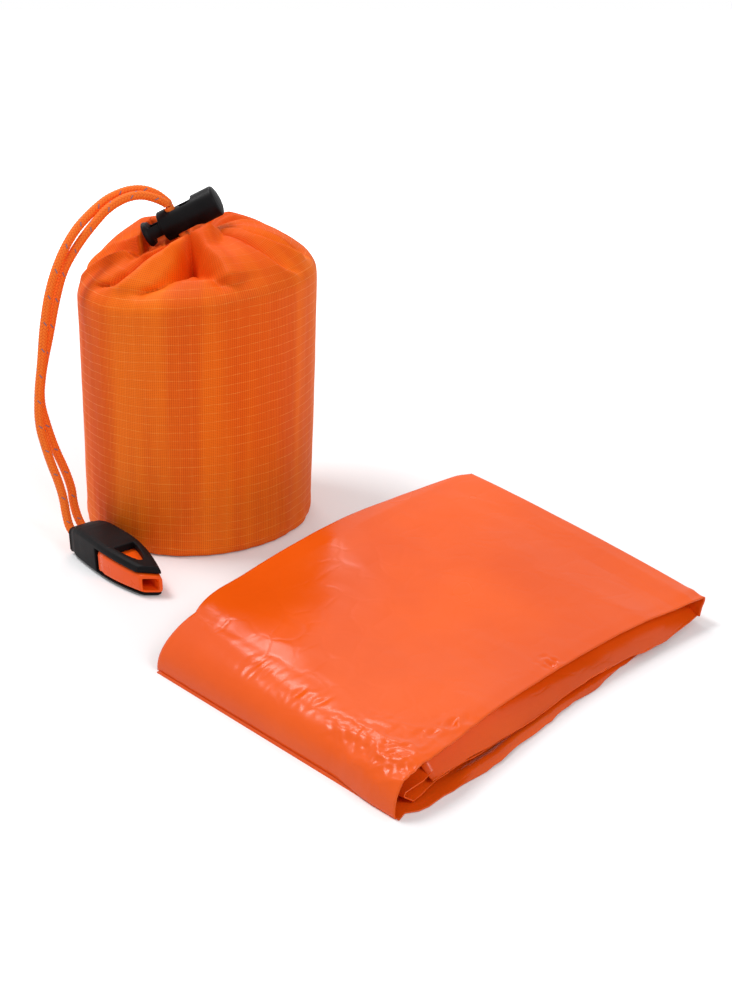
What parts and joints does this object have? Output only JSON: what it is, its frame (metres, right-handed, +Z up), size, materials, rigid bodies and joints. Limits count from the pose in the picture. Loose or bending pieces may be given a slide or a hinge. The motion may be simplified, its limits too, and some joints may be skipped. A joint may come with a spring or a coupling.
{
  "type": "emergency sleeping bag",
  "caption": "Emergency sleeping bag packed in a drawcord stuff sack with cord lock and whistle, and a folded film bag beside it.",
  "frame": {"origin": "centre of the stuff sack's round base, on the floor", "axes": "+Z up; the picture looks along +Y from above; +X to the picture's right"},
  "size_m": [0.2081, 0.2135, 0.1142],
  "materials": {
    "sack_wall": "satin ripstop weave",
    "sack_base": "satin ripstop weave",
    "side_seam": "satin ripstop weave, stitched",
    "cord_channel": "satin ripstop weave, gathered",
    "drawcord_in_channel": "braided",
    "drawcord_left": "braided, reflective flecks",
    "drawcord_right": "braided, reflective flecks",
    "cord_lock_barrel": "moulded, fine texture",
    "cord_lock_plunger": "moulded, satin",
    "cord_lock_spring": "drawn wire",
    "whistle_shell": "moulded, fine texture",
    "whistle_body": "moulded, glossy",
    "rolled_bag": "thin film, crinkled",
    "folded_bag": "thin film, glossy, crinkled",
    "cover_leaf": "thin film, glossy, crinkled"
  },
  "bodies": {
    "sack": {"sack_wall": "sack_wall", "sack_base": "sack_base", "side_seam": "side_seam", "cord_channel": "cord_channel", "drawcord_in_channel": "drawcord_in_channel", "drawcord_left": "drawcord_left", "drawcord_right": "drawcord_right", "cord_lock_barrel": "cord_lock_barrel", "cord_lock_spring": "cord_lock_spring", "rolled_bag": "rolled_bag"},
    "plunger": {"cord_lock_plunger": "cord_lock_plunger"},
    "whistle": {"whistle_shell": "whistle_shell", "whistle_body": "whistle_body"},
    "folded": {"folded_bag": "folded_bag"},
    "cover": {"cover_leaf": "cover_leaf"}
  },
  "joints": [
    {"name": "plunger_press", "type": "slide", "parent": "sack", "child": "plunger", "axis": [0.8988, 0, 0.4384], "range_m": [0, 0.004], "stiffness_N_per_m": 1500, "springref_m": -0.003, "deforming": ["cord_lock_spring"]},
    {"name": "whistle_swing", "type": "hinge", "parent": "sack", "child": "whistle", "pos_m": [-0.03511, -0.03229, 0.0055], "axis": [-0.7638, -0.6455, 0], "range_deg": [0, 75], "deforming": ["drawcord_left", "drawcord_right"]},
    {"name": "folded_bag_lift", "type": "slide", "parent": "sack", "child": "folded", "axis": [0, 0, 1], "range_m": [0, 0.15]},
    {"name": "cover_open", "type": "hinge", "parent": "folded", "child": "cover", "pos_m": [0.0109, -0.0994, 0.0106], "axis": [0.7083, -0.7059, 0], "range_deg": [0, 170]}
  ]
}
